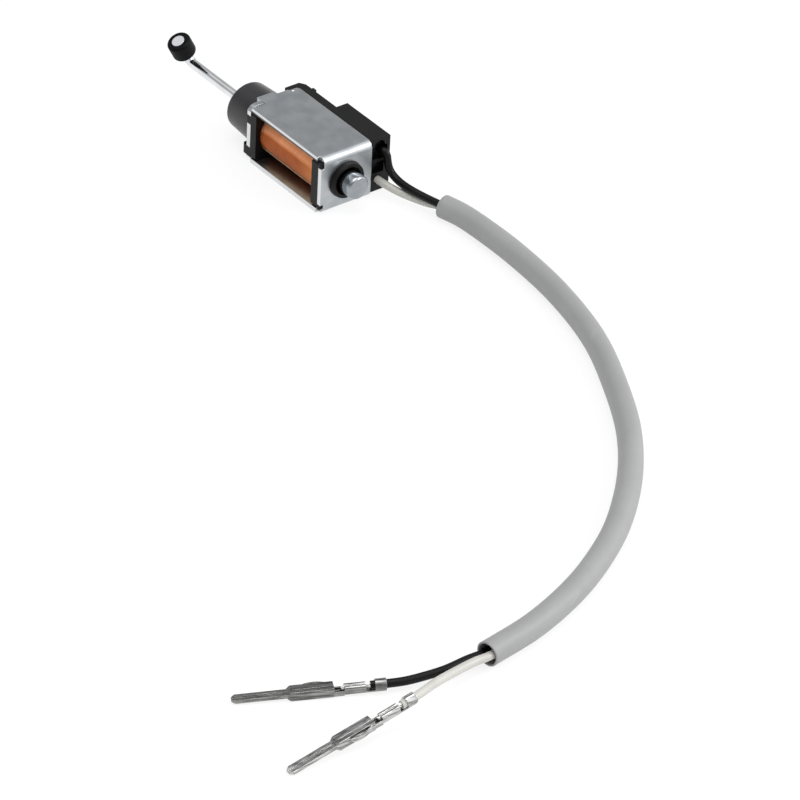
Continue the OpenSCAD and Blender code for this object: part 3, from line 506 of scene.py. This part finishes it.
HOUSING_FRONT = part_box("terminal_housing")[1].x / MM
LEAD_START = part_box("lead_black")[0].x / MM
UPPER_WIRE, LOWER_WIRE = (12.1, 11.4), (10.6, 3.5)
LEAD_D, SLEEVE_D, SLEEVE_WALL = 2.0, 6.0, 0.5
SLEEVE_Z = SLEEVE_D / 2
LEAD_SHIFT = LEAD_D / 2 + 0.1
RING_LEN, CRIMP_X, NECK_X = 2.5, 4.5, 9.2
STUB = 1.0
NEAR_TURN, FAR_TURN = 40, -15
SLEEVE_ROUTE = [
    (31.4, 17.3), (37, 18.6), (44, 19.1), (58, 19), (77, 17), (97, 12), (115, 4), (131, -5),
    (145, -16), (158, -30), (166, -42), (172, -54), (177, -69), (179.5, -84),
]
BLACK_NEAR = [
    (1, 12.35, 10.7), (1.5, 12.4, 9), (2, 12.5, 7.4), (2.9, 12.75, 6.1), (4.6, 13, 5.2),
    (7, 13.3, 4.7), (10.2, 14, 4.3), (14, 15.2, 3.9),
]
BLACK_FAR = [(178.2, -88.5, 2.6), (178.1, -94.4, 2.4), (177.2, -99.5, 2.2), (176.1, -103.7, 2.05)]
WHITE_NEAR = [(3.2, 11.1, 3.3), (6.2, 12.2, 2.8), (9.4, 13.9, 2.2), (13.4, 16, 1.9)]
WHITE_FAR = [(180.5, -88, 3.4), (181.5, -94.4, 4), (183.3, -101, 5.1), (185, -106, 5.8)]
BLACK_END, BLACK_TURN, BLACK_PITCH = Vector((174.5, -107.6, 2)), -117, 2
WHITE_END, WHITE_TURN, WHITE_PITCH = Vector((185.7, -108.7, 6)), -89.5, 9


def metres(points):
    return [Vector(p) * MM for p in points]


def in_sleeve(side):
    """A lead's line inside the sleeve; black runs on side 1 and white on side -1."""
    path = [Vector((x, y, SLEEVE_Z)) for x, y in SLEEVE_ROUTE]
    last, out = len(path) - 1, []
    for i, p in enumerate(path):
        t = (path[min(i + 1, last)] - path[max(i - 1, 0)]).normalized()
        a = math.radians(NEAR_TURN + (FAR_TURN - NEAR_TURN) * i / last)
        out.append(p + side * LEAD_SHIFT * Vector((math.cos(a) * t.y, -math.cos(a) * t.x, math.sin(a))))
    return out


def lead_route(wire, near, side, far, end, turn, pitch):
    """A lead's route points in mm, from the housing through the sleeve into its contact."""
    route = [(LEAD_START, *wire), (HOUSING_FRONT, *wire)]
    route += [(HOUSING_FRONT + x, y, z) for x, y, z in near]
    return route + in_sleeve(side) + far + [end, end + (RING_LEN + STUB) * heading(turn, pitch)]


def insulated(name, route, shader, slot, node):
    """A round insulated lead with softly rounded cut ends."""
    line = smooth_path(metres(route), 0.6 * MM)
    at = frames(line)
    r = LEAD_D / 2 * MM
    rings = [ring(f, r, 24) for f in at]
    rings = [ring(at[0], 0.86 * r, 24)] + rings[1:-1]
    tip = at[-1]
    for back, share in ((0.10, 1.0), (0.03, 0.95), (0.0, 0.84)):
        rings.append(ring((tip[0] - back * MM * tip[1], *tip[1:]), share * r, 24))
    obj = piece(name, *skin(rings), shader, slot=slot, stands_for=(node,))
    return obj, line


def strands(name, end, turn, pitch):
    """Bare conductor from the insulation into the crimp and a little past it: seven thin wires."""
    d = heading(turn, pitch)
    side = Vector((0, 0, 1)).cross(d).normalized()
    up = d.cross(side)
    points, faces = [], []
    for k in range(7):
        a = 2 * math.pi * k / 6
        off = Vector() if k == 6 else 0.42 * (math.cos(a) * side + math.sin(a) * up)
        reach = NECK_X + 0.6 + 0.25 * math.sin(2.3 * k)
        line = []
        for i in range(13):
            x = (RING_LEN + 0.4) + (reach - RING_LEN - 0.4) * i / 12
            squeeze = 1 if x < CRIMP_X - 0.6 else 0.75
            line.append((end + x * d + squeeze * off + 0.1 * squeeze * up) * MM)
        p, f = skin([ring(q, 0.2 * MM, 8) for q in frames(line)])
        faces += [tuple(j + len(points) for j in g) for g in f]
        points += p
    return piece(name, points, faces, tin)


black_strands = strands("strands_black", BLACK_END, BLACK_TURN, BLACK_PITCH)
white_strands = strands("strands_white", WHITE_END, WHITE_TURN, WHITE_PITCH)

black_route = lead_route(UPPER_WIRE, BLACK_NEAR, 1, BLACK_FAR, BLACK_END, BLACK_TURN, BLACK_PITCH)
white_route = lead_route(LOWER_WIRE, WHITE_NEAR, -1, WHITE_FAR, WHITE_END, WHITE_TURN, WHITE_PITCH)
black_lead, black_line = insulated("black_lead", black_route, black_pvc, "black_pvc", "lead_black")
white_lead, white_line = insulated("white_lead", white_route, white_pvc, "white_pvc", "lead_white")


def hollow_sleeve():
    """The PVC sleeve: outer skin, rounded lips and the bore, with faint waves in its wall."""
    line = smooth_path(metres([(x, y, SLEEVE_Z) for x, y in SLEEVE_ROUTE]), 1.0 * MM)
    at = frames(line)
    outer, bore, sides = SLEEVE_D / 2 * MM, (SLEEVE_D / 2 - SLEEVE_WALL) * MM, 48
    lip = 0.16 * MM

    def wave(i):
        return 1 - 0.006 * (1 + math.sin(0.13 * i + 1.2 * math.sin(0.05 * i)))

    def end(f, way):
        """Rings round one lip, from the outside to the bore."""
        p, t, s, u = f
        out = []
        for k in range(7):
            a = math.pi * k / 6
            r = (outer + bore) / 2 + (outer - bore) / 2 * math.cos(a)
            out.append(ring((p + way * (math.sin(a) * lip - lip) * t, t, s, u), r, sides))
        return out

    outside = [ring(f, outer * wave(i), sides) for i, f in enumerate(at)]
    inside = [ring(f, bore, sides) for f in at]
    rings = outside[1:-1] + end(at[-1], 1) + inside[-2:0:-1] + end(at[0], -1)[::-1]
    points, faces = skin(rings, closed_ends=False)
    n, last = sides, (len(rings) - 1) * sides
    faces += [(last + k, last + (k + 1) % n, (k + 1) % n, k) for k in range(n)]
    obj = piece("grey_sleeve", points, faces, grey_pvc, slot="grey_pvc", stands_for=("cable_sleeve",))
    return obj, line


sleeve, sleeve_line = hollow_sleeve()


# ---------------------------------------------------------------- winding

def winding():
    """The coil as wound wire: one ridge for each turn along its outside."""
    low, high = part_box("coil_winding")
    radius = (high.z - low.z) / 2
    pitch, depth, sides = 0.22 * MM, 0.035 * MM, 96
    turns = round((high.x - low.x) / pitch)

    def turn_ring(x, sink):
        at = (Vector((x, 0, axis_z)), None, Vector((0, 1, 0)), Vector((0, 0, 1)))
        return ring(at, radius - sink * depth, sides)

    rings = []
    for i in range(turns):
        for share, sink in ((0.0, 1.0), (0.25, 0.3), (0.5, 0.0), (0.75, 0.3)):
            rings.append(turn_ring(low.x + (high.x - low.x) * (i + share) / turns, sink))
    rings.append(turn_ring(high.x, 1.0))
    piece("wound_wire", *skin(rings), copper, slot="copper_wire", stands_for=("coil_winding",))


winding()


# ---------------------------------------------------------------- return spring

def spring():
    """Compression spring with closed, ground ends."""
    low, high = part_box("return_spring")
    outer = (high.z - low.z) / 2
    wire = 0.175 * MM
    r, turns, count = outer - wire, 6.5, 26
    start, stop = low.x + wire, high.x - wire
    line = []
    for i in range(int(turns * count) + 1):
        t = i / count
        open_share = min(1, max(0, (t - 0.75) / (turns - 1.5)))
        x = start + 2 * wire * min(t, 0.75) * 0.6 + (stop - start - 1.8 * wire) * open_share
        x += 2 * wire * max(0, t - turns + 0.75) * 0.6
        line.append(Vector((x, r * math.cos(2 * math.pi * t), axis_z + r * math.sin(2 * math.pi * t))))
    obj = piece("spring_wire", *skin([ring(f, wire, 10) for f in frames(line)]), spring_steel,
                slot="spring_steel", stands_for=("return_spring",))
    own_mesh(obj)


spring()


# ---------------------------------------------------------------- floor and world

def floor():
    """Large white floor. It is seen white, and still takes the object's shadow."""
    half = 30
    corners = [(-half, -half, 0), (half, -half, 0), (half, half, 0), (-half, half, 0)]
    mesh = bpy.data.meshes.new("floor")
    mesh.from_pydata(corners, [], [(0, 1, 2, 3)])
    s = Shader("floor_white")
    s.set(Base_Color=(0.92, 0.92, 0.92), Roughness=0.9, Specular_IOR_Level=0.1)
    path = s.add("ShaderNodeLightPath")
    seen = s.math("MAXIMUM", path.outputs["Is Camera Ray"], path.outputs["Is Glossy Ray"])
    seen = s.math("MAXIMUM", seen, path.outputs["Is Transmission Ray"])
    glow = s.add("ShaderNodeEmission")
    glow.inputs["Strength"].default_value = 1.0
    both = s.add("ShaderNodeMixShader")
    s.put(both.inputs[0], s.math("MULTIPLY", seen, 0.84))
    s.put(both.inputs[1], s.bsdf.outputs[0])
    s.put(both.inputs[2], glow.outputs[0])
    s.put(s.tree.nodes["Material Output"].inputs["Surface"], both.outputs[0])
    mesh.materials.append(s.material)
    obj = bpy.data.objects.new("floor", mesh)
    obj.location.z = cad_bounds[0].z - 0.02 * MM
    scene.collection.objects.link(obj)


floor()


def studio():
    """Studio world: white at the horizon and overhead, grey between, with a bright and a grey card."""
    world = bpy.data.worlds.new("studio")
    world.use_nodes = True
    tree = world.node_tree

    def add(kind, **values):
        node = tree.nodes.new(kind)
        for key, value in values.items():
            setattr(node, key, value)
        return node

    back = tree.nodes["Background"]
    way = add("ShaderNodeTexCoord").outputs["Generated"]
    split = add("ShaderNodeSeparateXYZ")
    tree.links.new(way, split.inputs[0])
    ramp = add("ShaderNodeValToRGB")
    tree.links.new(split.outputs["Z"], ramp.inputs[0])
    stops = ramp.color_ramp.elements
    stops[0].position, stops[0].color = 0.0, (0.95, 0.95, 0.95, 1)
    stops[1].position, stops[1].color = 1.0, (0.95, 0.95, 0.96, 1)
    for height, level in ((0.12, 0.90), (0.34, 0.44), (0.60, 0.42), (0.73, 0.95)):
        stop = stops.new(height)
        stop.color = (level, level, 1.02 * level, 1)
    sky = ramp.outputs[0]
    # each card: its direction, the cosines at its soft edge and at its full level, and that level
    cards = (((0.62, 0.66, 0.42), 0.45, 0.90, 1.5), ((-0.66, 0.40, 0.63), 0.90, 0.97, 0.50))
    for aim, outer, inner, level in cards:
        toward = add("ShaderNodeVectorMath", operation="DOT_PRODUCT")
        tree.links.new(way, toward.inputs[0])
        toward.inputs[1].default_value = Vector(aim).normalized()
        reach = add("ShaderNodeMapRange", interpolation_type="SMOOTHSTEP")
        tree.links.new(toward.outputs["Value"], reach.inputs["Value"])
        for key, number in (("From Min", outer), ("From Max", inner), ("To Min", 0), ("To Max", 1)):
            reach.inputs[key].default_value = number
        card = add("ShaderNodeMix", data_type="RGBA")
        tree.links.new(reach.outputs[0], card.inputs["Factor"])
        tree.links.new(sky, card.inputs[6])
        card.inputs[7].default_value = (level, level, 1.01 * level, 1)
        sky = card.outputs[2]
    path = add("ShaderNodeLightPath")
    mix = add("ShaderNodeMix", data_type="RGBA")
    tree.links.new(path.outputs["Is Camera Ray"], mix.inputs["Factor"])
    tree.links.new(sky, mix.inputs[6])
    mix.inputs[7].default_value = (1, 1, 1, 1)
    tree.links.new(mix.outputs[2], back.inputs["Color"])
    back.inputs["Strength"].default_value = 1.0
    scene.world = world


studio()
